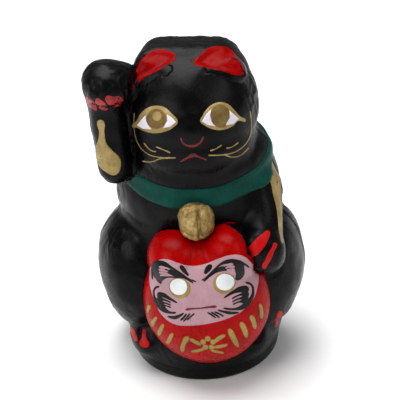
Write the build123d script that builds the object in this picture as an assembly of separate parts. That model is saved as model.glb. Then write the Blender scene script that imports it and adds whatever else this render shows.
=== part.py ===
"""A seated beckoning cat of moulded paper that holds a round lucky doll, as it is put together on a bench.

Millimetres, +Z up. The origin is the middle of the base's underside, and the cat looks along -Y. Right and left
are the cat's own, so its raised right arm is on the -X side.
"""

import os

from build123d import *

# Moulded paper, paper strip and board
wall = 2.2
strip_thickness = 0.5
strip_width = 13.0
rim_strip_width = 7.0
collar_thickness = 0.9
collar_width = 9.0
collar_tilt = 21.0
board_thickness = 2.6

# Body: a low round base, a torso, a chest, a neck, and two haunches with their feet
base_radius = 36.0
base_flare = 5.0
base_height = 20.0
torso_size = (84.0, 74.0, 122.0)
chest_size = (80.0, 64.0, 76.0)
neck_size = (73.0, 60.0, 40.0)
haunch_size = (45.0, 62.0, 68.0)
haunch_spread = 60.0
haunch_lean = 2.0
foot_size = (22.0, 40.0, 23.0)
foot_spread = 52.0
foot_shift = -1.0

# Head, with the level top between the ears
head_size = (62.0, 60.0, 60.0)
jaw_size = (56.0, 44.0, 42.0)
crown_width = 40.0
crown_shift = -1.0
crown_foot_width = 64.0
crown_depth = 30.0
crown_height = 24.0
crown_round = 9.0
crown_proud = 1.5

# Ears: a leaning wedge each, from a broad foot on the side of the head to a tip beside the crown
ear_tip_x = 19.0
ear_foot_x = 31.0
ear_inner_x = 1.0
ear_depth = 22.0
ear_drop_right = 20.0
ear_drop_left = 14.5
ear_round = 2.2

# Raised right arm
arm_radius = 10.2
elbow_radius = 8.6
forearm_length = 38.0
raised_paw_size = (25.0, 27.0, 22.0)
arm_strip_width = 9.0

# Left arm, moulded with the chest, whose paw holds the doll
shoulder_radius = 14.8
wrist_radius = 8.8
holding_paw_size = (20.5, 21.0, 23.5)

# Doll, bell and tail
doll_size = (63.0, 46.0, 71.0)
doll_lobe_size = (29.0, 32.0, 30.0)
doll_shift = 3.5
doll_lift = 10.5
doll_wall = 1.8
bell_size = (17.0, 13.0, 19.5)
bell_groove = 1.6
tail_radius = 6.0
tail_tip_radius = 4.4

# Clay weight in the base
weight_radius = 24.0
weight_height = 15.0
weight_round = 5.0

# Places that follow from the sizes
torso_middle = torso_size[2] / 2 + 1.0
chest_middle = torso_middle + 31.0
neck_middle = chest_middle + 19.0
head_middle = chest_middle + 43.0
jaw_middle = head_middle - 11.5
haunch_middle = haunch_size[2] / 2 + 15.5
foot_middle = foot_size[2] / 2 + 6.0
crown_top = head_middle + head_size[2] / 2 + crown_proud
collar_middle = neck_middle + 2.0
seam_y = 4.0
head_y = -4.0
arm_y = -16.0
bell_x = 1.0
bell_y = -chest_size[1] / 2 - 3.5
bell_z = collar_middle - 20.5
reach = 400.0


def blob(centre, size, lean=0.0, grow=0.0):
    """An egg of that overall size, leaned about X, with every radius longer by grow."""
    radii = [side / 2 + grow for side in size]
    return Pos(*centre) * Rot(lean, 0, 0) * scale(Sphere(1), by=tuple(radii))


def limb(start, end, start_radius, end_radius):
    """A tapering round limb with a ball at each end."""
    run = Vector(*end) - Vector(*start)
    shaft = Plane(origin=start, z_dir=run) * Cone(
        start_radius, end_radius, run.length, align=(Align.CENTER, Align.CENTER, Align.MIN)
    )
    return Pos(*start) * Sphere(start_radius) + Pos(*end) * Sphere(end_radius) + shaft


def slab(low, high):
    """All the space between two levels."""
    return Pos(0, 0, (low + high) / 2) * Box(reach, reach, high - low)


def beyond_y(at):
    """All the space behind the plane Y = at."""
    return Pos(0, at + reach / 2, 0) * Box(reach, reach, reach * 2)


def beside(side):
    """All the space on the left (side 1) or the right (side -1) of the middle."""
    return Pos(side * reach / 2, 0, 0) * Box(reach, reach * 2, reach * 2)


def neck_band(width):
    """The space between two planes round the neck, lower at the throat than at the nape."""
    return Pos(0, 0, collar_middle) * Rot(collar_tilt, 0, 0) * Box(reach, reach, width)


def base_bowl(grow):
    """The round base: it flares from the table up to where the haunches cover it."""
    radius = base_radius + grow
    flared = radius + base_flare
    bowl = Cone(radius, flared, base_height, align=(Align.CENTER, Align.CENTER, Align.MIN))
    return bowl + Pos(0, 0, base_height) * scale(Sphere(1), by=(flared, flared, base_height - 2.0))


def crown(grow):
    """The level top of the head between the ears: a block that narrows upwards, with round edges."""
    low = crown_top - crown_height - grow
    high = crown_top + grow
    half_low = crown_foot_width / 2 + grow
    half_high = crown_width / 2 + grow
    outline = Polygon((-half_low, low), (half_low, low), (half_high, high), (-half_high, high), align=None)
    block = Pos(crown_shift, head_y + 5.0, 0) * extrude(Plane.XZ * outline, crown_depth / 2 + grow, both=True)
    return fillet(block.edges(), crown_round + grow)


def holding_arm(grow):
    """The left arm down the side of the chest, with its paw on the doll."""
    shoulder = (chest_size[0] / 2 - 13.2, -8.5, chest_middle + 1.5)
    wrist = (chest_size[0] / 2 - 7.0, -27, chest_middle - 15)
    paw = (chest_size[0] / 2 - 6.4, -32, chest_middle - 20)
    arm = limb(shoulder, wrist, shoulder_radius + grow, wrist_radius + grow)
    return arm + blob(paw, holding_paw_size, 20, grow)


def body(grow=0.0):
    """The moulded body and head, with their skin moved out by grow, or in where grow is negative."""
    solid = base_bowl(grow)
    solid += blob((0, 4, torso_middle), torso_size, 0, grow)
    solid += blob((0, 0, chest_middle), chest_size, 0, grow)
    solid += blob((0, -1, neck_middle), neck_size, 0, grow)
    for side in (-1, 1):
        solid += blob((side * haunch_spread / 2, -2, haunch_middle), haunch_size, haunch_lean, grow)
        solid += blob((side * foot_spread / 2 + foot_shift, -14, foot_middle), foot_size, 0, grow)
    solid += blob((0, head_y, head_middle), head_size, 0, grow)
    solid += blob((0, head_y - 8.0, jaw_middle), jaw_size, 0, grow)
    solid += crown(grow)
    solid += holding_arm(grow)
    return solid


def body_shells(outer, cavity):
    """The moulded shell, open at the base and parted into its front and back halves."""
    shell = outer - cavity - slab(-10, board_thickness)
    return shell - beyond_y(seam_y), shell & beyond_y(seam_y)


def base_parts(outer, raised):
    """The board that closes the base, the clay weight glued on it, and the paper strip round its edge."""
    board = outer & slab(0, board_thickness)
    weight = Pos(0, 0, board_thickness) * Cylinder(
        weight_radius, weight_height, align=(Align.CENTER, Align.CENTER, Align.MIN)
    )
    weight = fillet(weight.edges().sort_by(Axis.Z)[-1], weight_round)
    strip = (raised - outer) & slab(strip_thickness, strip_thickness + rim_strip_width)
    return board, weight, strip


def seam_strips(outer, raised):
    """The paper strips over the joint of the two halves: one over the crown, and one down each side."""
    skin = (raised - outer) & (Pos(0, seam_y, 0) * Box(reach, strip_width, reach * 2))
    skin -= slab(-10, strip_thickness + rim_strip_width)
    over_head = skin & slab(collar_middle, reach)
    sides = skin - slab(collar_middle, reach)
    return over_head, sides & beside(-1), sides & beside(1)


def ear(side, drop):
    """A wedge with four corners and round edges, its broad face turned forwards and up."""
    front = head_y - ear_depth * 0.68
    inner = (side * ear_inner_x, front - 1.0, crown_top - 4.5)
    outer_foot = (side * ear_foot_x, front, crown_top - drop)
    tip = (side * ear_tip_x, front + ear_depth * 0.35, crown_top + 1.5)
    back = (side * ear_foot_x * 0.9, front + ear_depth, crown_top - drop)
    corners = (inner, outer_foot, tip, back)
    faces = [Face(Wire.make_polygon([c for c in corners if c is not left_out])) for left_out in corners]
    wedge = Solid(Shell(faces))
    return fillet(wedge.edges(), ear_round)


def raised_arm(grow=0.0):
    """The forearm that stands beside the head, and its paw bent forward at the top."""
    elbow = (-chest_size[0] / 2 + 2.5, arm_y - 3.0, chest_middle + 21)
    wrist = (elbow[0] - 1.0, arm_y, elbow[2] + forearm_length)
    paw = (wrist[0] + 1.5, arm_y - 2.5, wrist[2] + 4.0)
    arm = limb(elbow, wrist, elbow_radius + grow, arm_radius + grow)
    return arm + blob(paw, raised_paw_size, 0, grow)


def doll(grow=0.0):
    """The round doll: a broad body, and two lobes at its top with the bell between them."""
    middle = (doll_shift, -31, doll_lift + doll_size[2] / 2)
    lobe_x = doll_size[0] * 0.21
    solid = blob(middle, doll_size, 0, grow)
    solid += blob((doll_shift - lobe_x, -32, middle[2] + 24.5), doll_lobe_size, 0, grow)
    solid += blob((doll_shift + lobe_x, -32, middle[2] + 28.0), doll_lobe_size, 0, grow)
    return solid


def raised_arm_shells(arm, cavity, outer):
    """The hollow forearm, open at its root on the body, in a front and a back half with a strip over their joint."""
    joint_y = arm_y + 1.0
    shell = arm - cavity - outer
    skin = raised_arm(strip_thickness) - arm - outer
    strip = skin & (Pos(0, joint_y, 0) * Box(reach, arm_strip_width, reach * 2))
    return shell - beyond_y(joint_y), shell & beyond_y(joint_y), strip


def bell():
    """A flattened drop with an upright groove in its front."""
    middle = (bell_x, bell_y, bell_z)
    drop = blob(middle, bell_size)
    groove = Pos(bell_x + 1.0, bell_y - bell_size[1] / 2, bell_z) * Rot(0, 0, 45) * Box(
        bell_groove, bell_groove, bell_size[2] * 2
    )
    return drop - groove


def tail():
    """The tail, laid from the middle of the back round to the right haunch, close on the body."""
    back_y = torso_size[1] / 2
    side_x = -haunch_spread / 2
    path = (
        (10, back_y + 2, 23), (-12, back_y + 3, 18), (side_x - 3, back_y - 7, 17), (side_x - 12, 19, 18),
        (side_x - 16, 4, 20),
    )
    step = (tail_radius - tail_tip_radius) / (len(path) - 1)
    laid = Part()
    for i in range(len(path) - 1):
        laid += limb(path[i], path[i + 1], tail_radius - i * step, tail_radius - (i + 1) * step)
    return laid


def model():
    """Every node by name, each one cut back by the pieces it is glued on, so that they meet face to face."""
    outer = body()
    raised = body(strip_thickness)
    nodes = {}
    nodes["front_shell"], nodes["back_shell"] = body_shells(outer, body(-wall))
    nodes["base_board"], nodes["base_weight"], nodes["base_rim_strip"] = base_parts(outer, raised)
    strips = seam_strips(outer, raised)
    nodes["seam_strip_crown"], nodes["seam_strip_right"], nodes["seam_strip_left"] = strips
    arm = raised_arm()
    arm_parts = raised_arm_shells(arm, raised_arm(-wall), outer)
    nodes["raised_arm_front_shell"], nodes["raised_arm_back_shell"], arm_strip = arm_parts
    nodes["raised_arm_seam_strip"] = arm_strip
    doll_outer = doll()
    nodes["doll_shell"] = doll_outer - doll(-doll_wall) - outer
    collar = (body(collar_thickness) - outer) & neck_band(collar_width)
    for on_body in strips + (arm, arm_strip):
        collar -= on_body
    nodes["collar_band"] = collar
    nodes["bell"] = bell() - outer - collar - doll_outer
    nodes["tail"] = tail() - outer - nodes["seam_strip_right"] - nodes["base_rim_strip"]
    for name, side, drop in (("ear_right", -1, ear_drop_right), ("ear_left", 1, ear_drop_left)):
        nodes[name] = ear(side, drop) - outer - nodes["seam_strip_crown"] - arm - arm_strip
    return nodes


if __name__ == "__main__":
    os.makedirs("parts", exist_ok=True)
    for name, shape in model().items():
        export_step(shape.solid(), f"parts/{name}.step")
        print(f"{name}: {shape.volume:.1f} mm3")
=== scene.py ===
"""A seated beckoning cat of moulded paper in black lacquer, with painted face, collar, bell and lucky doll.

Metres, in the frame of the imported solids. Right and left are the cat's own. Marks laid on with a brush are
thin pieces of their own, set out in millimetres on a plane tipped back as a painter would hold the cat.
"""
from math import cos, exp, hypot, pi, radians, sin

import bmesh
import bpy
from mathutils import Matrix, Vector, noise
from mathutils.bvhtree import BVHTree
from mathutils.kdtree import KDTree


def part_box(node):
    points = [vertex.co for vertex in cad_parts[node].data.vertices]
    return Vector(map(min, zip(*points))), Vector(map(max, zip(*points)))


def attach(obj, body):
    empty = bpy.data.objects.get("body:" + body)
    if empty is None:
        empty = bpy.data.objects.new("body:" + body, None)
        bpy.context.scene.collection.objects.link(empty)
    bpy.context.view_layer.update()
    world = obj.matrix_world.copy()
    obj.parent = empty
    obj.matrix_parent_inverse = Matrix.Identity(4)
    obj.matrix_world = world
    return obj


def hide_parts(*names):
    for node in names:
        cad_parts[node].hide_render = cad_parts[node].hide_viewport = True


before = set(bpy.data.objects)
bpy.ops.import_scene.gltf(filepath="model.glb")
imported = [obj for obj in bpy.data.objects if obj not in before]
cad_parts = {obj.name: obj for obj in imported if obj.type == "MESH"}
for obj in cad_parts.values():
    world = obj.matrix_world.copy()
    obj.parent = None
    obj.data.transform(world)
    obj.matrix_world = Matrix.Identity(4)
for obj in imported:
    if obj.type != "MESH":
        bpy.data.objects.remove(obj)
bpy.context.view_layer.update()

mm = 0.001

# Paper
skin_voxel = 0.9 * mm
shell_wall = 1.7 * mm
strip_height = 0.35 * mm
strip_half_width = 6.5 * mm
arm_strip_half_width = 4.5 * mm
rim_strip_height = 0.2 * mm
rim_strip_low = 0.6 * mm
collar_height = 0.9 * mm
collar_half_width = 4.5 * mm
ear_hollow = 1.5 * mm
ear_hollow_run = 2.2  # millimetres from the rim of an ear's red to its full hollow
bell_hang = 1.4 * mm
# The shells spread outward at the foot, by this share at the table and not at all at this height.
base_spread = 0.035
spread_top = 22 * mm

# Paint
paint_height = 0.14 * mm
paint_cell = 0.8 * mm
cast_distance = 0.2
steepest = 0.17  # a mark stops where the cosine between the skin's normal and the line of sight is less

# How the skin is shared out among the solids: it stands off them by less than the reach.
owner_voxel = 1.2 * mm
owner_reach = 1.9 * mm
owner_margin = 3 * mm

seam_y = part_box("front_shell")[1].y
arm_seam_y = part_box("raised_arm_front_shell")[1].y
board_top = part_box("base_board")[1].z
rim_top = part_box("base_rim_strip")[1].z


# ---------------------------------------------------------------- materials


def linear(colour):
    """An sRGB hex colour as linear RGBA."""
    parts = [int(colour[i:i + 2], 16) / 255 for i in (1, 3, 5)]
    return [c / 12.92 if c <= 0.04045 else ((c + 0.055) / 1.055) ** 2.4 for c in parts] + [1.0]


def node(tree, kind, settings=None, links=None):
    """Adds a node, with its settings by property or socket name, and its links by socket name."""
    made = tree.nodes.new(kind)
    for name, value in (settings or {}).items():
        if name in made.inputs:
            made.inputs[name].default_value = value
        else:
            setattr(made, name, value)
    for name, source in (links or {}).items():
        tree.links.new(source, made.inputs[name])
    return made


def start_material(name):
    """A new material, its node tree and its Object coordinates."""
    material = bpy.data.materials.new(name)
    material.use_nodes = True
    tree = material.node_tree
    tree.nodes.clear()
    return material, tree, node(tree, "ShaderNodeTexCoord").outputs["Object"]


def ramp(tree, source, stops):
    """A colour ramp from (place, colour) stops."""
    made = node(tree, "ShaderNodeValToRGB", links={"Fac": source})
    ladder = made.color_ramp.elements
    while len(ladder) < len(stops):
        ladder.new(0.5)
    for element, (place, colour) in zip(ladder, stops):
        element.position = place
        element.color = colour if not isinstance(colour, str) else linear(colour)
    return made.outputs["Color"]


def grey(value):
    return (value, value, value, 1.0)


# How wide the patterns in the paint are: clouds of colour, bristle marks, which are drawn a little coarser than
# real ones so that they show, and the fibres of the paper.
cloud_width = 11.111 * mm
bristle_width = 1.1111 * mm
fibre_width = 0.38462 * mm
bump_height = 0.25 * mm


def painted_paper(name, colours, rough, coat, coat_rough, shine=0.5, brush=0.25, metal=0.0, grain=1.0):
    """Paper under paint or lacquer: cloudy colour, long brush marks, and fibres that show through as bump.

    Colours run from the darkest to the lightest, and rough from the smoothest to the dullest. A larger grain
    makes the patterns finer.
    """
    material, tree, place = start_material(name)
    cloud = node(
        tree, "ShaderNodeTexNoise", {"Scale": grain / cloud_width, "Detail": 5.0, "Roughness": 0.6},
        {"Vector": place},
    )
    stretched = node(
        tree, "ShaderNodeMapping", {"Scale": (1.0, 1.0, 0.22), "Rotation": (0.3, 0.5, 0.0)}, {"Vector": place}
    )
    bristle = node(
        tree, "ShaderNodeTexNoise", {"Scale": grain / bristle_width, "Detail": 3.0, "Roughness": 0.7},
        {"Vector": stretched.outputs[0]},
    )
    fibres = node(
        tree, "ShaderNodeTexNoise", {"Scale": 1 / fibre_width, "Detail": 2.0, "Distortion": 1.2},
        {"Vector": place},
    )
    mixed = node(
        tree, "ShaderNodeMix", {"data_type": "FLOAT", "Factor": 0.35},
        {"A": cloud.outputs["Fac"], "B": bristle.outputs["Fac"]},
    )
    colour = ramp(tree, mixed.outputs[0], ((0.3, colours[0]), (0.5, colours[1]), (0.68, colours[2])))
    roughness = ramp(tree, mixed.outputs[0], ((0.3, grey(rough[0])), (0.7, grey(rough[1]))))
    height = node(
        tree, "ShaderNodeMix", {"data_type": "FLOAT", "Factor": 0.4},
        {"A": bristle.outputs["Fac"], "B": fibres.outputs["Fac"]},
    )
    bump = node(
        tree, "ShaderNodeBump", {"Strength": brush, "Distance": bump_height}, {"Height": height.outputs[0]}
    )
    settings = {
        "Metallic": metal, "Coat Weight": coat, "Coat Roughness": coat_rough,
        "IOR": 1.5, "Specular IOR Level": shine,
    }
    shader = node(
        tree, "ShaderNodeBsdfPrincipled", settings,
        {"Base Color": colour, "Roughness": roughness, "Normal": bump.outputs[0]},
    )
    node(tree, "ShaderNodeOutputMaterial", links={"Surface": shader.outputs[0]})
    return material


# Black lacquer brushed on moulded paper: deep and glossy where it pooled, dull where the brush ran dry.
black_lacquer = painted_paper(
    "moulded_paper_black_lacquer", ("#020202", "#040405", "#0a0a0b"), (0.16, 0.4), 0.0, 0.25, 0.1,
    brush=0.55,
)
# The same lacquer on a pasted strip, a little drier, so that its edge catches the light.
strip_lacquer = painted_paper(
    "pasted_strip_black_lacquer", ("#020202", "#050506", "#0b0b0c"), (0.2, 0.44), 0.0, 0.3, 0.1,
    brush=0.6,
)
# Red lacquer: a strong warm red, darker where it is thick.
red_lacquer = painted_paper(
    "moulded_paper_red_lacquer", ("#820000", "#9c0000", "#b00000"), (0.18, 0.38), 0.0, 0.2, 0.07,
    brush=0.35,
)
# The red in the ears: a darker red lacquer, as painted shade on ears that face up into the top light.
shaded_ear_red = painted_paper(
    "ear_red_lacquer_painted_shade", ("#640000", "#840000", "#9a0000"), (0.2, 0.42), 0.0, 0.2, 0.04,
    brush=0.3,
)
# Red on the marks: the same paint in one coat, so the black under it darkens it in places.
red_paint = painted_paper("red_brush_paint", ("#8c0202", "#b40404", "#cc0c0a"), (0.3, 0.5), 0.0, 0.3, 0.16)
smudged_red = painted_paper(
    "smudged_red_paint", ("#3a0607", "#9c1016", "#c2181e"), (0.3, 0.5), 0.04, 0.3, 0.3,
    grain=2.2,
)
thin_red_paint = painted_paper(
    "thin_red_brush_paint", ("#3c0507", "#680a0e", "#7e0e12"), (0.3, 0.5), 0.04, 0.3, 0.3
)
# Teal poster paint: satin, a little uneven.
teal_paint = painted_paper(
    "pasted_paper_teal_paint", ("#022f28", "#043f35", "#084a40"), (0.35, 0.6), 0.0, 0.4, 0.1
)
# Brass-powder paint: dull gold with a grainy sparkle.
gold_paint = painted_paper(
    "brass_powder_paint", ("#796436", "#9c8550", "#b8a46e"), (0.4, 0.58), 0.0, 0.3, 0.3,
    metal=0.35, grain=1.8,
)
# A browner powder in the cat's irises.
bronze_paint = painted_paper(
    "bronze_powder_paint", ("#5a4520", "#70592c", "#8a7340"), (0.4, 0.58), 0.0, 0.3, 0.3,
    metal=0.35, grain=1.8,
)
# Gold leaf on the bell: bright where it lies flat, brown in its folds.
bell_gilt = painted_paper(
    "crumpled_gold_leaf", ("#4a3a18", "#927741", "#c4ae74"), (0.3, 0.5), 0.0, 0.3, 0.4,
    brush=0.8, metal=0.5, grain=2.6,
)
# Olive gold on the red, where the brass powder is thin.
olive_gold = painted_paper(
    "thin_brass_paint", ("#7d6a2e", "#96813f", "#a8934e"), (0.4, 0.58), 0.0, 0.3, 0.3,
    metal=0.25,
)
# Chalk-white paint in the cat's eyes, slightly lilac.
white_paint = painted_paper("chalk_white_paint", ("#d6cede", "#e2dce8", "#ece8f0"), (0.4, 0.6), 0.0, 0.4, 0.3)
# The cooler white in the doll's eyes.
cream_paint = painted_paper(
    "cream_white_paint", ("#d4d6d8", "#dfe2e4", "#e8eaec"), (0.35, 0.5), 0.04, 0.3, 0.3
)
# Pink body colour of the doll's face.
pink_paint = painted_paper(
    "pink_body_paint", ("#a87e87", "#b28a93", "#bc969f"), (0.38, 0.55), 0.0, 0.3, 0.25
)
# Ink-black brush lines on the pink.
ink_paint = painted_paper("ink_black_paint", ("#040406", "#08080b", "#101014"), (0.3, 0.45), 0.0, 0.25, 0.2)
# Bare grey-brown card under the base, and the fired clay of the weight.
base_card = painted_paper(
    "grey_brown_card", ("#7d6a52", "#8e7a60", "#9f8c72"), (0.75, 0.9), 0.0, 0.5,
    brush=0.4,
)
fired_clay = painted_paper(
    "unglazed_fired_clay", ("#8a4a30", "#9c5638", "#ab6546"), (0.8, 0.95), 0.0, 0.5,
    brush=0.5,
)


# ---------------------------------------------------------------- pieces


def add_piece(name, mesh, material, replaced=()):
    """Puts a finished mesh in the scene as a piece of the object."""
    mesh.materials.clear()
    mesh.materials.append(material)
    mesh.shade_smooth()
    piece = bpy.data.objects.new(name, mesh)
    bpy.context.scene.collection.objects.link(piece)
    if replaced:
        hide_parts(*replaced)
    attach(piece, "root")
    return piece


def thicken(piece, thickness):
    """Gives a sheet its thickness, inward from the face that shows."""
    solid = piece.modifiers.new("thickness", "SOLIDIFY")
    solid.thickness = thickness
    solid.offset = -1.0


def as_mesh(bm, name):
    """Turns a bmesh into a mesh and frees it."""
    mesh = bpy.data.meshes.new(name)
    bm.to_mesh(mesh)
    bm.free()
    return mesh


def baked(name, mesh, **modifiers):
    """The mesh with modifiers applied, each given as kind=settings."""
    holder = bpy.data.objects.new(name, mesh)
    bpy.context.scene.collection.objects.link(holder)
    for kind, settings in modifiers.items():
        modifier = holder.modifiers.new(kind, kind)
        for key, value in settings.items():
            setattr(modifier, key, value)
    graph = bpy.context.evaluated_depsgraph_get()
    result = bpy.data.meshes.new_from_object(holder.evaluated_get(graph))
    bpy.data.objects.remove(holder)
    return result


def cad_mesh(*nodes):
    """One merged copy of those solids."""
    bm = bmesh.new()
    for name in nodes:
        bm.from_mesh(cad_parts[name].data)
    bmesh.ops.remove_doubles(bm, verts=bm.verts, dist=1e-6)
    return as_mesh(bm, "solids")


def keep_largest_island(bm):
    """Drops every closed surface but the one with the most faces."""
    left = set(bm.faces)
    islands = []
    while left:
        seed = left.pop()
        island, reached = [seed], [seed]
        while reached:
            face = reached.pop()
            for edge in face.edges:
                for other in edge.link_faces:
                    if other in left:
                        left.remove(other)
                        island.append(other)
                        reached.append(other)
        islands.append(island)
    islands.sort(key=len)
    drop = [face for island in islands[:-1] for face in island]
    bmesh.ops.delete(bm, geom=drop, context="FACES")


def smooth(bm, times, verts):
    for _ in range(times):
        bmesh.ops.smooth_vert(
            bm, verts=verts, factor=0.5, use_axis_x=True, use_axis_y=True, use_axis_z=True
        )


def laid_skin(nodes, voxel, fill_times, soften_times, soft_regions=()):
    """A skin of wet paper laid over those solids: it bridges the creases, and follows every swelling.

    A soft region is (how many times it is smoothed further, a test for the points in it).
    """
    mesh = baked("skin", cad_mesh(*nodes), REMESH={"mode": "VOXEL", "voxel_size": voxel})
    bm = bmesh.new()
    bm.from_mesh(mesh)
    keep_largest_island(bm)
    smooth(bm, 3, bm.verts)
    bridged = bm.copy()
    smooth(bridged, fill_times, bridged.verts)
    bm.normal_update()
    for vert, over in zip(bm.verts, bridged.verts):
        lift = (over.co - vert.co).dot(vert.normal)
        if lift > 0:
            vert.co += vert.normal * lift
    bridged.free()
    smooth(bm, soften_times, bm.verts)
    for times, chosen in soft_regions:
        smooth(bm, times, [vert for vert in bm.verts if chosen(vert.co)])
    bm.normal_update()
    return bm


def wet_paper(point):
    """How far the paper stands off at a point: slow lumps, and wrinkles where it was pushed together."""
    lumps = noise.noise(point / (17 * mm)) * 0.75 + noise.noise(point / (7 * mm) + Vector((9, 4, 2))) * 0.3
    patch = noise.noise(point / (20 * mm) + Vector((3, 8, 5))) + 0.1
    drawn_out = Vector((point.x / 3.4, point.y / 3.4, point.z / 7.0)) / mm
    wrinkle = 1 - abs(noise.noise(drawn_out + Vector((1, 7, 3)))) * 3
    return (lumps + max(0.0, patch) * max(0.0, wrinkle) * 0.75) * mm


def near(point, centre, radius):
    """1 at the centre, falling off smoothly to almost 0 at twice the radius."""
    return exp(-(point - centre).length_squared / (radius * radius))


def near_line(point, start, end, radius):
    """The same for a line from start to end."""
    run = end - start
    along = max(0.0, min(1.0, (point - start).dot(run) / run.length_squared))
    return near(point, start + run * along, radius)


def v(x, y, z):
    """A point given in millimetres."""
    return Vector((x, y, z)) * mm


def outward(turn, tip):
    """The direction toward a viewer turned about Z from the front and raised by the tip, in radians."""
    return Vector((sin(turn) * cos(tip), -cos(turn) * cos(tip), sin(tip)))


# ---------------------------------------------------------------- marks


class Board:
    """A plane that marks are set out on: its origin, and its turn about Z and tip back in degrees."""

    def __init__(self, origin, turn, tip):
        self.origin = origin
        self.look = -outward(radians(turn), radians(tip))
        self.across = self.look.cross(Vector((0, 0, 1))).normalized()
        self.up = self.across.cross(self.look)

    def point(self, u, w):
        return self.origin + self.across * (u * mm) + self.up * (w * mm)

    def flat(self, point):
        """The (u, w) in millimetres of a point in space."""
        offset = point - self.origin
        return offset.dot(self.across) / mm, offset.dot(self.up) / mm


def stroke(*points):
    """The outline of a brush stroke through (u, w, width) points; a width of 0 is a pointed end."""
    left, right = [], []
    for i, (u, w, width) in enumerate(points):
        before, after = points[max(i - 1, 0)], points[min(i + 1, len(points) - 1)]
        run_u, run_w = after[0] - before[0], after[1] - before[1]
        length = hypot(run_u, run_w)
        off_u, off_w = -run_w / length * width / 2, run_u / length * width / 2
        left.append((u + off_u, w + off_w))
        if width:
            right.append((u - off_u, w - off_w))
    return left + right[::-1]


def oval(u, w, across, up, turn=0.0):
    """The outline of an oval, turned by that many degrees."""
    outline = []
    for i in range(12):
        a, t = 2 * pi * i / 12, radians(turn)
        x, y = cos(a) * across / 2, sin(a) * up / 2
        outline.append((u + x * cos(t) - y * sin(t), w + x * sin(t) + y * cos(t)))
    return outline


def flat_mark(outline, sharp=False):
    """A filled outline through those points in millimetres, with smooth sides, cut into small cells."""
    curve = bpy.data.curves.new("mark", "CURVE")
    curve.dimensions = "2D"
    curve.fill_mode = "BOTH"
    curve.resolution_u = 1 if sharp else 5
    spline = curve.splines.new("BEZIER")
    spline.bezier_points.add(len(outline) - 1)
    spline.use_cyclic_u = True
    for point, (u, w) in zip(spline.bezier_points, outline):
        point.co = (u, w, 0)
        point.handle_left_type = point.handle_right_type = "VECTOR" if sharp else "AUTO"
    holder = bpy.data.objects.new("mark", curve)
    bpy.context.scene.collection.objects.link(holder)
    graph = bpy.context.evaluated_depsgraph_get()
    mesh = bpy.data.meshes.new_from_object(holder.evaluated_get(graph))
    bpy.data.objects.remove(holder)
    bm = bmesh.new()
    bm.from_mesh(mesh)
    bpy.data.meshes.remove(mesh)
    bmesh.ops.remove_doubles(bm, verts=bm.verts, dist=1e-4)
    cell = paint_cell / mm
    for axis, normal in ((0, (1, 0, 0)), (1, (0, 1, 0))):
        low = min(vert.co[axis] for vert in bm.verts)
        high = max(vert.co[axis] for vert in bm.verts)
        for i in range(1, int((high - low) / cell) + 1):
            place = [0, 0, 0]
            place[axis] = low + i * cell
            geom = list(bm.verts) + list(bm.edges) + list(bm.faces)
            bmesh.ops.bisect_plane(bm, geom=geom, plane_co=place, plane_no=normal)
    for face in bm.faces:
        if face.normal.z < 0:
            face.normal_flip()
    return bm


def paint(name, board, surface, material, outlines, layer=1, sharp=False):
    """Lays marks on a surface along the board's line of sight, as one thin closed piece.

    A higher layer lies on top of a lower one. A sharp mark has straight sides.
    """
    whole = bmesh.new()
    for order, outline in enumerate(outlines):
        mark = flat_mark(outline, sharp)
        lift = (layer + order * 0.08) * paint_height * 0.5
        missed = []
        for vert in mark.verts:
            start = board.point(vert.co.x, vert.co.y) - board.look * cast_distance
            hit, normal, _, _ = surface.ray_cast(start, board.look)
            if hit is None or normal.dot(board.look) > -steepest:
                missed.append(vert)
            else:
                vert.co = hit + normal * lift
        bmesh.ops.delete(mark, geom=missed, context="VERTS")
        mesh = as_mesh(mark, "mark")
        whole.from_mesh(mesh)
        bpy.data.meshes.remove(mesh)
    thicken(add_piece(name, as_mesh(whole, name), material), paint_height)


# ---------------------------------------------------------------- the black skin

cat_nodes = (
    "front_shell", "back_shell", "base_board", "ear_right", "ear_left",
    "raised_arm_front_shell", "raised_arm_back_shell", "tail",
)
face_board = Board(v(0, 0, 136), 0, 29)
# Softer than the rest: the crown and ears, the raised arm, the holding paw, and the foot of the shells.
skin = laid_skin(cat_nodes, skin_voxel, 60, 4, (
    (34, lambda point: point.z > 0.147 and point.x > -0.026),
    (24, lambda point: point.x < -0.027 and point.z > 0.108 and point.y < 0.002),
    (30, lambda point: point.x > 0.018 and 0.062 < point.z < 0.1 and point.y < -0.012),
    (30, lambda point: 0.003 < point.z < 0.018),
))

# The hollow insides of the ears, as the red is laid on them.
ear_right_red = (
    (-25.8, 5.6), (-25.7, 10.6), (-24.3, 16.0), (-20.8, 21.2), (-16.1, 24.4), (-10.1, 24.0), (-6.0, 20.6),
    (-9.4, 17.0), (-15.6, 13.5), (-20.4, 11.4), (-23.5, 8.7),
)
ear_left_red = (
    (2.3, 17.3), (5.1, 21.2), (10.0, 25.2), (14.1, 25.8), (18.7, 24.7), (22.3, 19.2), (25.1, 12.0),
    (23.4, 11.2), (15.5, 13.2), (7.5, 15.2),
)


def depth_inside(outline, u, w):
    """How far inside an outline a point is, in millimetres; 0 outside it."""
    inside, least = False, 1e9
    for (au, aw), (bu, bw) in zip(outline, outline[1:] + outline[:1]):
        if (aw > w) != (bw > w) and u < (bu - au) * (w - aw) / (bw - aw) + au:
            inside = not inside
        run = (bu - au) ** 2 + (bw - aw) ** 2
        along = max(0.0, min(1.0, ((u - au) * (bu - au) + (w - aw) * (bw - aw)) / run))
        least = min(least, hypot(u - au - along * (bu - au), w - aw - along * (bw - aw)))
    return least if inside else 0.0


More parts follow.
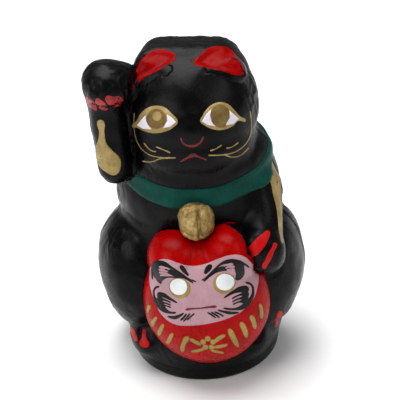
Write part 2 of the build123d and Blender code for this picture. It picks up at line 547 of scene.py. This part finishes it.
# Where the pressed paper swells out of the mould, or sinks: (centre, radius, height).
swellings = (
    # the nose, its bridge, and the two sides of the muzzle
    (v(0.6, -33, 138), 4.2 * mm, 1.6 * mm),
    (v(0.2, -33, 146), 4.0 * mm, 0.9 * mm),
    (v(-9, -32, 127), 8.0 * mm, 0.8 * mm),
    (v(9, -32, 127), 8.0 * mm, 0.8 * mm),
    # the root of the right ear, the left temple and the crown
    (v(-22, -8, 162), 8.0 * mm, 2.6 * mm),
    (v(27, 0, 150), 9.0 * mm, 0.8 * mm),
    (v(0, 2, 168), 16.0 * mm, 1.0 * mm),
    # the right flank, and the lower sides, which sink
    (v(-47, 3, 62), 14.0 * mm, 1.4 * mm),
    (v(-47, -3, 30), 14.0 * mm, -1.8 * mm),
    (v(47, -3, 30), 14.0 * mm, -1.8 * mm),
    # the raised paw's inner and outer side, and the paw that holds the doll
    (v(-28, -14, 160), 5.0 * mm, 1.5 * mm),
    (v(-43, -16, 164), 9.0 * mm, 1.0 * mm),
    (v(28, -35, 82), 7.5 * mm, 4.0 * mm),
)
# Where the raised arm leans away from the head: (centre, radius, offset).
shifts = (
    (v(-27, -18, 148), 11.0 * mm, v(-2.6, 0, 0)),
    (v(-27, -24, 128), 12.0 * mm, v(-1.4, 0, 0)),
)
# Creases between the ears, on the raised paw and at its wrist: (start, end, radius, depth).
grooves = (
    (v(-5, -10, 163), v(2, -10, 163), 2.6 * mm, 1.3 * mm),
    (v(-46, -14, 167), v(-30, -14, 167), 1.3 * mm, 0.9 * mm),
    (v(-50, -26, 149), v(-30, -28, 149), 1.6 * mm, 0.8 * mm),
)

for vert in skin.verts:
    point = vert.co.copy()
    fade = min(1.0, max(0.0, (point.z - rim_top) / (6 * mm)))
    move = wet_paper(point) * fade
    for centre, radius, height in swellings:
        move += near(point, centre, radius) * height
    for start, end, radius, depth in grooves:
        move -= near_line(point, start, end, radius) * depth
    if point.z > 0.148 and point.y < 0.005:
        for outline in (ear_right_red, ear_left_red):
            deep = depth_inside(outline, *face_board.flat(point))
            move -= ear_hollow * min(1.0, deep / ear_hollow_run)
    vert.co += vert.normal * move
    for centre, radius, offset in shifts:
        vert.co += near(point, centre, radius) * offset
    spread = base_spread * max(0.0, 1 - point.z / spread_top)
    vert.co.x *= 1 + spread
    vert.co.y *= 1 + spread
skin.normal_update()

skin_surface = BVHTree.FromBMesh(skin)

# For every solid but the two shells: a tree of the points on it, and its box.
near_nodes = {}
small_nodes = (
    "ear_right", "ear_left", "raised_arm_front_shell", "raised_arm_back_shell", "tail", "base_board",
)
for name in small_nodes:
    cells = baked(name, cad_mesh(name), REMESH={"mode": "VOXEL", "voxel_size": owner_voxel})
    tree = KDTree(len(cells.vertices))
    for i, vertex in enumerate(cells.vertices):
        tree.insert(vertex.co, i)
    tree.balance()
    near_nodes[name] = (tree, *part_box(name))


def owner(point):
    """The node whose solid lies under a point of the skin."""
    best, least = None, owner_reach
    for name, (tree, low, high) in near_nodes.items():
        if all(low[i] - owner_margin < point[i] < high[i] + owner_margin for i in range(3)):
            distance = tree.find(point)[2]
            if distance < least:
                best, least = name, distance
    if best is None:
        return "front_shell" if point.y < seam_y else "back_shell"
    if best.startswith("raised_arm"):
        return "raised_arm_front_shell" if point.y < arm_seam_y else "raised_arm_back_shell"
    return best


def face_owner(face):
    """The same for a face, where the board takes only the faces that look down at the table."""
    point = face.calc_center_median()
    if point.z < 2 * board_top:
        if face.normal.z < -0.7 and point.z < board_top:
            return "base_board"
        return "front_shell" if point.y < seam_y else "back_shell"
    return owner(point)


owners = [face_owner(face) for face in skin.faces]
for name in cat_nodes:
    part = skin.copy()
    part.faces.ensure_lookup_table()
    bmesh.ops.delete(part, geom=[f for f, o in zip(part.faces, owners) if o != name], context="FACES")
    finish = base_card if name == "base_board" else black_lacquer
    thicken(add_piece(name + "_skin", as_mesh(part, name + "_skin"), finish, (name,)), shell_wall)


def band(name, planes, height, ramp_width, material, replaced, keep):
    """A strip of paper pasted on the skin between planes, each (point, direction that it keeps).

    It reaches its full height at the ramp width from its edges, and covers only the points that pass keep.
    """
    part = skin.copy()
    for place, keep_side in planes:
        geom = list(part.verts) + list(part.edges) + list(part.faces)
        bmesh.ops.bisect_plane(part, geom=geom, plane_co=place, plane_no=-keep_side, clear_outer=True)
    drop = [face for face in part.faces if not keep(face.calc_center_median())]
    bmesh.ops.delete(part, geom=drop, context="FACES")
    part.normal_update()
    for vert in part.verts:
        inside = min((vert.co - place).dot(keep_side) for place, keep_side in planes)
        vert.co += vert.normal * height * (0.25 + 0.75 * min(1.0, inside / ramp_width))
    thicken(add_piece(name, as_mesh(part, name), material, replaced), height * 1.4)


x_axis, y_axis, z_axis = Vector((1, 0, 0)), Vector((0, 1, 0)), Vector((0, 0, 1))
tilt = radians(21)
collar_up = Vector((0, -sin(tilt), cos(tilt)))
collar_middle = v(0, 0, 114)


def between(axis, low, high):
    """The two planes that keep what lies between two points along an axis."""
    return [(low, axis), (high, -axis)]


def on_body(point):
    return owner(point) in ("front_shell", "back_shell")


def on_raised_arm(point):
    return owner(point).startswith("raised_arm")


def anywhere(point):
    return True


def seam_strip(name, planes, ramp_width, keep, height=strip_height):
    """A strip of black lacquered paper for the node of that name."""
    band(name + "_skin", planes, height, ramp_width, strip_lacquer, (name,), keep)


near_seam = between(
    y_axis, Vector((0, seam_y - strip_half_width, 0)), Vector((0, seam_y + strip_half_width, 0))
)
seam_strip("seam_strip_crown", near_seam + [(collar_middle, collar_up)], 2.5 * mm, on_body)
above_rim = (Vector((0, 0, rim_top)), z_axis)
for side, name in ((-1, "seam_strip_right"), (1, "seam_strip_left")):
    own_side = (Vector((0, 0, 0)), x_axis * side)
    seam_strip(name, near_seam + [(collar_middle, -collar_up), above_rim, own_side], 1.6 * mm, on_body)
near_arm_seam = between(
    y_axis, Vector((0, arm_seam_y - arm_strip_half_width, 0)),
    Vector((0, arm_seam_y + arm_strip_half_width, 0)),
)
seam_strip("raised_arm_seam_strip", near_arm_seam, 0.6 * mm, on_raised_arm)
around_rim = between(z_axis, Vector((0, 0, rim_strip_low)), Vector((0, 0, rim_top)))
seam_strip("base_rim_strip", around_rim, 1.5 * mm, anywhere, rim_strip_height)
around_neck = between(
    collar_up, collar_middle - collar_up * collar_half_width, collar_middle + collar_up * collar_half_width
)
band("collar_band_skin", around_neck, collar_height, 1.2 * mm, teal_paint,
     ("collar_band",), on_body)

# ---------------------------------------------------------------- doll and bell

# The doll is pressed in under the holding paw: (centre, radius, offset).
dents = (
    (v(31, -37, 82), 8 * mm, v(-2, 5, -1)),
    (v(23, -33, 90), 7 * mm, v(0, 2, -3)),
)
doll_bumps = 0.35  # the doll's paper is smoother than the cat's by this factor
doll = laid_skin(("doll_shell",), 0.8 * mm, 16, 3)
for vert in doll.verts:
    pressed = Vector((0, 0, 0))
    for centre, radius, offset in dents:
        pressed += near(vert.co, centre, radius) * offset
    vert.co += vert.normal * wet_paper(vert.co + Vector((0.1, 0, 0))) * doll_bumps + pressed
doll.normal_update()
doll_surface = BVHTree.FromBMesh(doll)
add_piece("doll_skin", as_mesh(doll, "doll_skin"), red_lacquer, ("doll_shell",))

# The bell: squarer than an ellipsoid, wider at the top, with crumpled leaf and one upright fold in front.
squareness = 2.5
top_heavy = 0.07
bell = laid_skin(("bell",), 0.5 * mm, 3, 2)
bell_low, bell_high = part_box("bell")
bell_middle = (bell_low + bell_high) / 2
bell_half = (bell_high - bell_low) / 2
for vert in bell.verts:
    rise = (vert.co.z - bell_middle.z) / bell_half.z
    near_end = min(0.97, abs(rise))
    vert.co.z -= bell_hang
    fuller = (1 - near_end ** squareness) ** (1 / squareness) / (1 - near_end ** 2) ** 0.5
    vert.co.x = bell_middle.x + (vert.co.x - bell_middle.x) * fuller * (1 + top_heavy * rise)
    across = (vert.co.x - bell_middle.x) / mm
    groove = 1.5 * exp(-((across - 1.8) / 0.8) ** 2)
    ridge = 1.0 * exp(-((across + 0.1) / 1.2) ** 2)
    fold = (groove - ridge) * mm * (vert.normal.y < 0) * (1 - rise * rise)
    crumple = noise.noise(vert.co / (1.6 * mm)) * 0.4 * mm + wet_paper(vert.co * 2.5) * 0.8
    vert.co += vert.normal * (crumple - fold)
add_piece("bell_skin", as_mesh(bell, "bell_skin"), bell_gilt, ("bell",))

weight_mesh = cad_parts["base_weight"].data
weight_mesh.materials.clear()
weight_mesh.materials.append(fired_clay)

# ---------------------------------------------------------------- the cat's marks



def cat_mark(name, material, outlines, layer=1, sharp=False, board=face_board):
    """A mark on the black paper."""
    paint(name, board, skin_surface, material, outlines, layer, sharp)


# The ears' red holds painted shade: it is darker all over than the doll's red lacquer.
paint("ear_right_inside_red", face_board, skin_surface, shaded_ear_red, [ear_right_red])
paint("ear_left_inside_red", face_board, skin_surface, shaded_ear_red, [ear_left_red])

eye_right = (
    (-28.0, -10.5), (-25.3, -8.3), (-22.8, -5.2), (-19.3, -2.8), (-15.2, -2.0), (-11.2, -2.9), (-7.8, -5.9),
    (-5.0, -9.7), (-7.2, -12.2), (-11.3, -13.9), (-15.8, -14.4), (-20.8, -13.4), (-25.0, -11.3),
)
cat_mark("eye_right_gold", gold_paint, [eye_right])
cat_mark("eye_right_white", white_paint, [
    ((-25.0, -10.2), (-22.6, -8.0), (-20.3, -6.0), (-20.2, -8.4), (-19.3, -10.6), (-17.6, -12.6),
     (-21.9, -12.0)),
    ((-9.9, -6.3), (-9.8, -9.2), (-11.9, -12.3), (-8.4, -11.8), (-5.8, -9.8), (-7.6, -7.8)),
], 2, True)
cat_mark("eye_right_iris", bronze_paint, [oval(-15.0, -7.9, 9.3, 9.0)], 2)
cat_mark("eye_right_pupil", gold_paint, [oval(-14.7, -6.8, 4.4, 4.2)], 3)
eye_left = (
    (5.2, -9.9), (6.3, -7.2), (8.6, -3.9), (11.2, -1.9), (14.2, -1.0), (17.5, -1.8), (20.4, -4.4),
    (22.6, -7.0), (25.4, -9.2), (22.2, -9.3), (19.8, -11.6), (14.6, -13.6), (10.2, -13.1), (6.9, -11.4),
)
cat_mark("eye_left_gold", gold_paint, [eye_left])
cat_mark("eye_left_white", white_paint, [
    ((5.9, -9.8), (7.8, -6.7), (10.1, -4.4), (9.8, -7.7), (10.5, -10.2), (12.2, -12.0), (8.4, -11.4)),
    ((18.3, -4.8), (18.4, -8.0), (16.4, -11.4), (19.8, -10.8), (22.3, -8.4)),
], 2, True)
cat_mark("eye_left_iris", bronze_paint, [oval(14.1, -7.3, 8.8, 10.6)], 2)

cat_mark("nose_red", thin_red_paint, [
    stroke((-4.0, -16.9, 0.4), (-2.9, -19.4, 0.7), (0.8, -20.7, 1.1), (4.6, -19.3, 0.8), (6.3, -16.6, 0.4)),
])
cat_mark("mouth_red", thin_red_paint, [
    stroke((-4.9, -27.6, 0.3), (-1.9, -26.1, 0.7), (1.6, -24.5, 0.8)),
    stroke((1.2, -24.4, 0.8), (4.0, -25.7, 0.7), (7.4, -27.0, 0.3)),
])
cat_mark("whiskers_right_gold", gold_paint, [
    stroke((-26.0, -4.6, 0.24), (-26.6, -9.0, 0.26), (-26.6, -14.2, 0.3), (-24.8, -19.3, 0.3),
           (-20.9, -23.3, 0.3), (-15.4, -25.2, 0.42), (-7.0, -25.8, 0.24)),
    stroke((-24.0, -26.6, 0.24), (-19.0, -27.2, 0.34), (-14.2, -25.9, 0.55), (-9.0, -25.7, 0.34)),
    stroke((-22.2, -18.3, 0.24), (-18.9, -21.9, 0.3), (-16.2, -22.7, 0.24)),
    stroke((-16.1, -20.5, 0.24), (-12.7, -21.9, 0.3), (-9.4, -23.4, 0.34)),
])
cat_mark("whiskers_left_gold", gold_paint, [
    stroke((27.4, -4.6, 0.24), (27.9, -11.5, 0.26), (26.3, -17.7, 0.3), (22.4, -22.1, 0.3),
           (17.1, -24.4, 0.38), (8.1, -25.0, 0.24)),
    stroke((26.3, -21.3, 0.24), (22.7, -24.8, 0.34), (18.4, -25.7, 0.38), (15.3, -24.5, 0.38)),
    stroke((9.1, -22.9, 0.3), (11.6, -22.1, 0.34), (14.3, -20.3, 0.24)),
    stroke((16.3, -21.8, 0.26), (18.7, -21.2, 0.26), (21.8, -19.1, 0.24)),
])

# ---------------------------------------------------------------- the doll's face

doll_board = Board(v(3.5, 0, 46), 0, 29)


def doll_mark(name, material, outlines, layer=2, sharp=False):
    """A mark on the doll's red paper."""
    paint(name, doll_board, doll_surface, material, outlines, layer, sharp)


doll_mark("doll_face_pink", pink_paint, [(
    (-26.7, -1.8), (-24.5, 2.5), (-20.4, 5.3), (-16.3, 5.6), (-11.6, 3.9), (-5.9, 2.3), (0.4, 2.8),
    (7.3, 5.4), (13.3, 7.2), (18.7, 6.9), (22.8, 3.4), (26.0, -2.7), (25.5, -8.7), (23.6, -14.2),
    (19.2, -19.2), (12.3, -22.9), (4.3, -25.2), (-6.9, -26.6), (-13.9, -26.2), (-19.6, -22.9),
    (-23.3, -17.0), (-25.7, -10.0),
)], 1)
doll_mark("doll_brow_right_ink", ink_paint, [
    stroke((-24.9, -4.6, 0.3), (-24.3, -0.5, 1.6), (-22.2, 2.2, 4.6), (-18.6, 3.4, 3.0),
           (-14.6, 1.7, 1.2), (-10.6, -1.0, 0.9), (-6.4, -3.9, 0.5), (-3.2, -5.2, 0.3)),
    stroke((-22.6, 1.0, 4.0), (-21.6, -2.6, 4.2), (-20.4, -6.4, 0.4)),
    stroke((-17.6, 0.6, 0.9), (-14.4, -0.6, 2.6), (-11.8, -2.0, 2.2), (-8.4, -3.4, 0.9), (-4.4, -5.9, 0.3)),
    stroke((-20.6, -4.0, 1.8), (-17.4, -3.0, 0.9), (-13.8, -2.9, 0.6), (-9.6, -3.9, 0.3)),
])
doll_mark("doll_brow_left_ink", ink_paint, [
    stroke((22.0, 0.9, 0.3), (19.6, 2.9, 1.2), (16.4, 3.6, 3.0), (12.0, 4.2, 2.0),
           (8.2, 2.6, 1.0), (4.6, -0.6, 0.9), (1.4, -3.4, 0.5), (-0.4, -4.6, 0.3)),
    stroke((16.6, 3.4, 3.8), (17.6, 0.0, 4.4), (17.2, -3.0, 3.4), (15.6, -4.8, 0.8)),
    stroke((12.6, 0.9, 0.9), (9.4, 0.8, 2.4), (6.6, -0.2, 1.8), (3.4, -2.6, 0.9), (0.4, -5.2, 0.3)),
])
doll_mark("doll_brow_combing_pink", pink_paint, [
    stroke((-20.4, 2.0, 0.5), (-17.6, 1.8, 0.5), (-15.4, 0.8, 0.3)),
    stroke((-20.7, 0.8, 0.5), (-18.2, 0.4, 0.5), (-16.2, -0.3, 0.3)),
    stroke((-20.6, -0.6, 0.5), (-18.2, -0.8, 0.5), (-16.6, -1.1, 0.3)),
    stroke((-20.2, -2.0, 0.5), (-18.2, -1.9, 0.5), (-16.8, -1.9, 0.3)),
    stroke((14.6, 3.0, 0.5), (12.2, 3.0, 0.5), (10.2, 2.2, 0.3)),
    stroke((15.2, 1.8, 0.5), (13.0, 1.8, 0.5), (11.0, 1.2, 0.3)),
    stroke((15.2, 0.6, 0.5), (13.2, 0.6, 0.5), (11.6, 0.3, 0.3)),
], 4)
doll_mark("doll_brow_drops_ink", ink_paint, [
    ((-10.6, 2.4), (-9.6, 2.8), (-8.4, 1.6), (-7.2, -0.6), (-6.6, -2.4), (-8.2, -1.6), (-9.8, 0.0)),
    ((1.0, -1.6), (1.1, 0.6), (2.2, 2.3), (3.8, 2.9), (4.6, 2.2), (4.2, 0.7), (2.8, -0.8)),
])
doll_mark("doll_eye_rings_gold", olive_gold, [
    oval(-11.1, -8.2, 10.6, 9.6, -20), oval(10.1, -6.1, 10.6, 9.8, 15),
], 3)
doll_mark("doll_eye_whites", cream_paint, [
    oval(-11.6, -7.6, 8.4, 7.8, -15), oval(10.5, -5.6, 8.6, 8.0, 15),
], 5)
doll_mark("doll_mouth_red", thin_red_paint, [
    stroke((-8.6, -18.7, 0.5), (-5.6, -18.2, 0.8), (-1.4, -18.0, 0.6), (2.2, -17.5, 0.9), (6.2, -17.3, 0.5)),
])
doll_mark("doll_beard_right_ink", ink_paint, [
    stroke((-21.3, -7.7, 0.4), (-23.6, -8.8, 1.0), (-24.3, -11.6, 1.1), (-23.0, -15.4, 2.2),
           (-20.0, -18.4, 3.0), (-16.6, -20.2, 1.2), (-13.4, -20.2, 0.4)),
    stroke((-22.2, -12.0, 2.2), (-19.6, -11.8, 2.4), (-16.2, -13.4, 1.4), (-12.6, -15.4, 0.3)),
    stroke((-22.4, -14.2, 2.4), (-19.2, -14.0, 1.0), (-15.6, -15.4, 0.3)),
    stroke((-21.8, -15.8, 2.2), (-18.8, -15.6, 0.8), (-15.8, -16.6, 0.3)),
    stroke((-20.8, -17.2, 2.0), (-18.2, -17.0, 0.7), (-15.8, -17.7, 0.3)),
])
doll_mark("doll_beard_left_ink", ink_paint, [
    stroke((20.0, -6.2, 0.4), (22.6, -7.6, 1.0), (23.4, -11.0, 1.2), (22.0, -14.8, 2.0),
           (19.2, -17.6, 2.6), (14.8, -18.9, 1.2), (9.4, -18.2, 0.4)),
    stroke((21.0, -9.8, 2.6), (18.0, -9.4, 3.0), (14.2, -10.6, 1.6), (9.8, -13.2, 0.3)),
    stroke((20.8, -12.0, 2.8), (17.4, -12.0, 1.0), (13.4, -13.8, 0.3)),
    stroke((20.6, -13.8, 2.6), (17.2, -13.8, 0.9), (13.6, -15.2, 0.3)),
    stroke((20.0, -15.4, 2.4), (17.0, -15.4, 0.8), (13.8, -16.5, 0.3)),
])
doll_mark("doll_chin_strokes_ink", ink_paint, [
    stroke((-17.8, -22.2, 0.3), (-14.4, -22.7, 1.7), (-11.8, -21.8, 1.4), (-9.6, -20.4, 0.3)),
    stroke((-11.4, -24.0, 0.4), (-9.8, -22.6, 0.9), (-8.2, -20.6, 0.3)),
    stroke((-10.0, -24.5, 0.3), (-8.2, -22.6, 0.8), (-6.6, -20.5, 0.3)),
    stroke((-8.2, -23.9, 0.3), (-6.2, -22.0, 0.7), (-4.4, -20.5, 0.3)),
    stroke((16.4, -20.7, 0.3), (12.4, -20.6, 1.5), (9.4, -19.9, 1.1), (6.6, -19.0, 0.3)),
    stroke((5.6, -22.9, 0.3), (3.8, -21.4, 0.8), (1.8, -20.1, 0.3)),
    stroke((7.4, -22.8, 0.3), (5.4, -21.2, 0.8), (3.4, -19.9, 0.3)),
    stroke((9.4, -22.2, 0.3), (7.2, -20.8, 0.8), (5.0, -19.8, 0.3)),
])
doll_mark("doll_robe_folds_gold", olive_gold, [
    stroke((-26.8, -17.6, 1.4), (-28.0, -19.4, 1.6), (-28.8, -21.4, 0.5)),
    stroke((-23.4, -23.0, 0.5), (-25.2, -25.2, 1.8), (-27.2, -28.2, 0.8)),
    stroke((-20.2, -26.4, 0.5), (-22.0, -29.4, 2.0), (-23.8, -32.8, 0.6)),
    stroke((-15.9, -30.8, 0.5), (-17.6, -33.8, 2.0), (-19.4, -36.8, 0.6)),
    stroke((-8.4, -32.4, 1.2), (-10.8, -36.2, 2.0), (-12.2, -40.8, 0.8)),
    stroke((11.6, -28.6, 0.8), (13.2, -33.0, 2.6), (15.4, -38.6, 0.5)),
    stroke((17.3, -25.6, 0.8), (18.8, -29.6, 2.4), (19.6, -33.9, 0.5)),
    stroke((22.0, -22.6, 0.8), (23.2, -25.8, 2.0), (23.8, -29.6, 0.5)),
    stroke((26.4, -17.2, 0.5), (27.0, -20.6, 1.6), (26.9, -24.7, 0.5)),
])
blossom_u, blossom_w, petal_reach, petal_size = 1.2, -35.9, 2.5, 2.7
petals = []
for i in range(5):
    a = 2 * pi * i / 5 + pi / 2
    u, w = blossom_u + petal_reach * cos(a), blossom_w + petal_reach * sin(a)
    petals.append(oval(u, w, petal_size, petal_size))
doll_mark("doll_blossom_gold", olive_gold, petals + [
    stroke((-7.4, -40.4, 0.4), (-4.0, -39.8, 1.4), (-0.6, -38.6, 0.5)),
    stroke((-7.6, -33.4, 0.4), (-5.0, -35.0, 1.8), (-2.4, -36.6, 0.5)),
    stroke((9.6, -31.8, 0.4), (7.0, -33.0, 2.0), (4.2, -35.2, 0.5)),
    stroke((10.4, -36.8, 0.4), (7.4, -37.6, 1.6), (4.0, -38.0, 0.5)),
    stroke((8.4, -41.4, 0.4), (5.4, -40.6, 1.2), (2.4, -39.6, 0.5)),
])
doll_mark("doll_side_black", black_lacquer, [(
    (8.0, 22.9), (11.4, 21.4), (14.6, 19.4), (17.6, 17.2), (19.6, 14.4), (20.6, 11.0), (20.9, 7.6),
    (23.6, 5.8), (26.4, 3.8), (30.0, 2.6), (34.0, 3.0), (35.0, 14.0), (31.0, 26.0), (16.0, 30.0), (8.0, 27.0),
)], 2.4, True)
paint("tail_tip_gold", Board(v(-49, 0, 19), 0, 29), skin_surface, gold_paint, [
    ((-4.6, 3.6), (-2.0, 4.2), (0.4, 2.2), (0.2, -1.4), (-2.4, -3.0), (-4.8, -1.4)),
])
doll_mark("doll_blossom_heart_red", red_lacquer, [oval(blossom_u, blossom_w, 1.5, 1.5)], 8)

# ---------------------------------------------------------------- claws and gold patches

arm_board = Board(v(-39, 0, 136), 0, 29)
cat_mark("raised_paw_claws_red", smudged_red, [
    ((-9.4, 3.0), (-6.8, 2.2), (-4.2, -0.4), (-3.6, -3.1), (-6.0, -2.4), (-8.6, 0.4)),
    ((-2.8, 1.4), (-0.4, 0.8), (1.8, -2.8), (-0.6, -3.4), (-3.0, -1.2)),
    ((1.8, 1.8), (5.4, 2.1), (9.2, 1.4), (7.8, -1.0), (4.2, -1.8), (2.2, -0.6)),
], board=arm_board)
cat_mark("raised_arm_patch_gold", gold_paint, [(
    (-4.0, -8.2), (-2.4, -7.6), (-0.9, -8.3), (-1.1, -13.5), (-0.6, -18.1), (1.8, -21.4), (4.9, -25.1),
    (5.2, -28.8), (2.4, -32.9), (-2.2, -31.4), (-6.8, -26.4), (-7.6, -21.4), (-5.0, -17.6), (-3.7, -13.0),
)], board=arm_board)
cat_mark("holding_paw_claws_red", red_paint, [
    ((-2.9, -11.6), (-6.2, -13.0), (-10.3, -16.6), (-13.9, -21.4), (-14.4, -23.8), (-10.2, -23.6),
     (-6.1, -20.2), (-3.7, -16.4)),
    ((0.2, -17.2), (-2.1, -20.2), (-4.7, -24.8), (-6.0, -29.6), (-3.4, -27.0), (-1.0, -22.2)),
], board=Board(v(38, 0, 80), 0, 29))
cat_mark("right_foot_claws_red", red_paint, [
    ((-10.7, -7.0), (-8.0, -7.2), (-6.6, -9.4), (-6.2, -13.2), (-8.8, -10.6)),
    ((-2.3, -6.9), (-3.2, -10.6), (-4.4, -14.6), (0.4, -15.2), (-0.8, -11.2)),
], board=Board(v(-27, 0, 18), 0, 29))
cat_mark("left_foot_claw_red", red_paint, [
    ((12.4, 1.9), (10.6, -1.4), (9.7, -5.2), (10.1, -8.0), (12.2, -4.6), (13.6, -0.8)),
], board=Board(v(27, 0, 18), 0, 29))
cat_mark("left_arm_patch_gold", gold_paint, [(
    (-12.4, 8.4), (-8.6, 10.6), (-4.4, 10.2), (-3.2, 6.0), (-4.6, -2.0), (-9.0, -11.0), (-14.2, -18.6),
    (-19.6, -25.6), (-22.4, -27.2), (-20.4, -22.6), (-16.6, -14.4), (-13.8, -5.4), (-12.8, 4.6),
)], board=Board(v(38, 0, 100), 45, 15))

# ---------------------------------------------------------------- floor, light and camera

floor_bm = bmesh.new()
bmesh.ops.create_grid(floor_bm, x_segments=1, y_segments=1, size=3.0)
floor = bpy.data.objects.new("floor", as_mesh(floor_bm, "floor"))
bpy.context.scene.collection.objects.link(floor)
floor_material, tree, _ = start_material("plain_pale_floor")
shader = node(tree, "ShaderNodeBsdfPrincipled", {"Base Color": linear("#f4f4f4"), "Roughness": 0.9})
node(tree, "ShaderNodeOutputMaterial", links={"Surface": shader.outputs[0]})
floor.data.materials.append(floor_material)

scene = bpy.context.scene
scene.view_settings.view_transform = "Standard"
world = bpy.data.worlds.new("studio")
scene.world = world
world.use_nodes = True
background = world.node_tree.nodes["Background"]
background.inputs["Color"].default_value = (1.0, 1.0, 1.0, 1.0)
background.inputs["Strength"].default_value = 0.28


def soft_light(name, place, aim, size, power):
    """A square softbox that faces a point."""
    lamp = bpy.data.lights.new(name, "AREA")
    lamp.size = size
    lamp.energy = power
    holder = bpy.data.objects.new(name, lamp)
    turn = (aim - place).to_track_quat("-Z", "Y").to_matrix().to_4x4()
    holder.matrix_world = Matrix.Translation(place) @ turn
    scene.collection.objects.link(holder)


middle = v(0, 0, 84)
soft_light("softbox_top", Vector((-0.15, 0.1, 1.1)), middle, 0.9, 17.0)
soft_light("softbox_left", Vector((-0.9, -0.8, 0.8)), middle, 0.5, 5.0)
soft_light("softbox_right", Vector((1.0, -0.6, 1.0)), middle, 0.5, 3.0)

camera_turn = radians(4.5)
camera_tip = radians(29.0)
camera_roll = radians(3.2)
camera_distance = 0.620
camera_aim = v(0.5, 0, 84)
camera_data = bpy.data.cameras.new("camera")
camera_data.sensor_width = 36.0
camera_data.lens = 111.6
camera = bpy.data.objects.new("camera", camera_data)
back = outward(camera_turn, camera_tip)
aim = back.to_track_quat("Z", "Y").to_matrix().to_4x4()
camera.matrix_world = (
    Matrix.Translation(camera_aim + back * camera_distance) @ aim @ Matrix.Rotation(-camera_roll, 4, "Z")
)
scene.collection.objects.link(camera)
scene.camera = camera
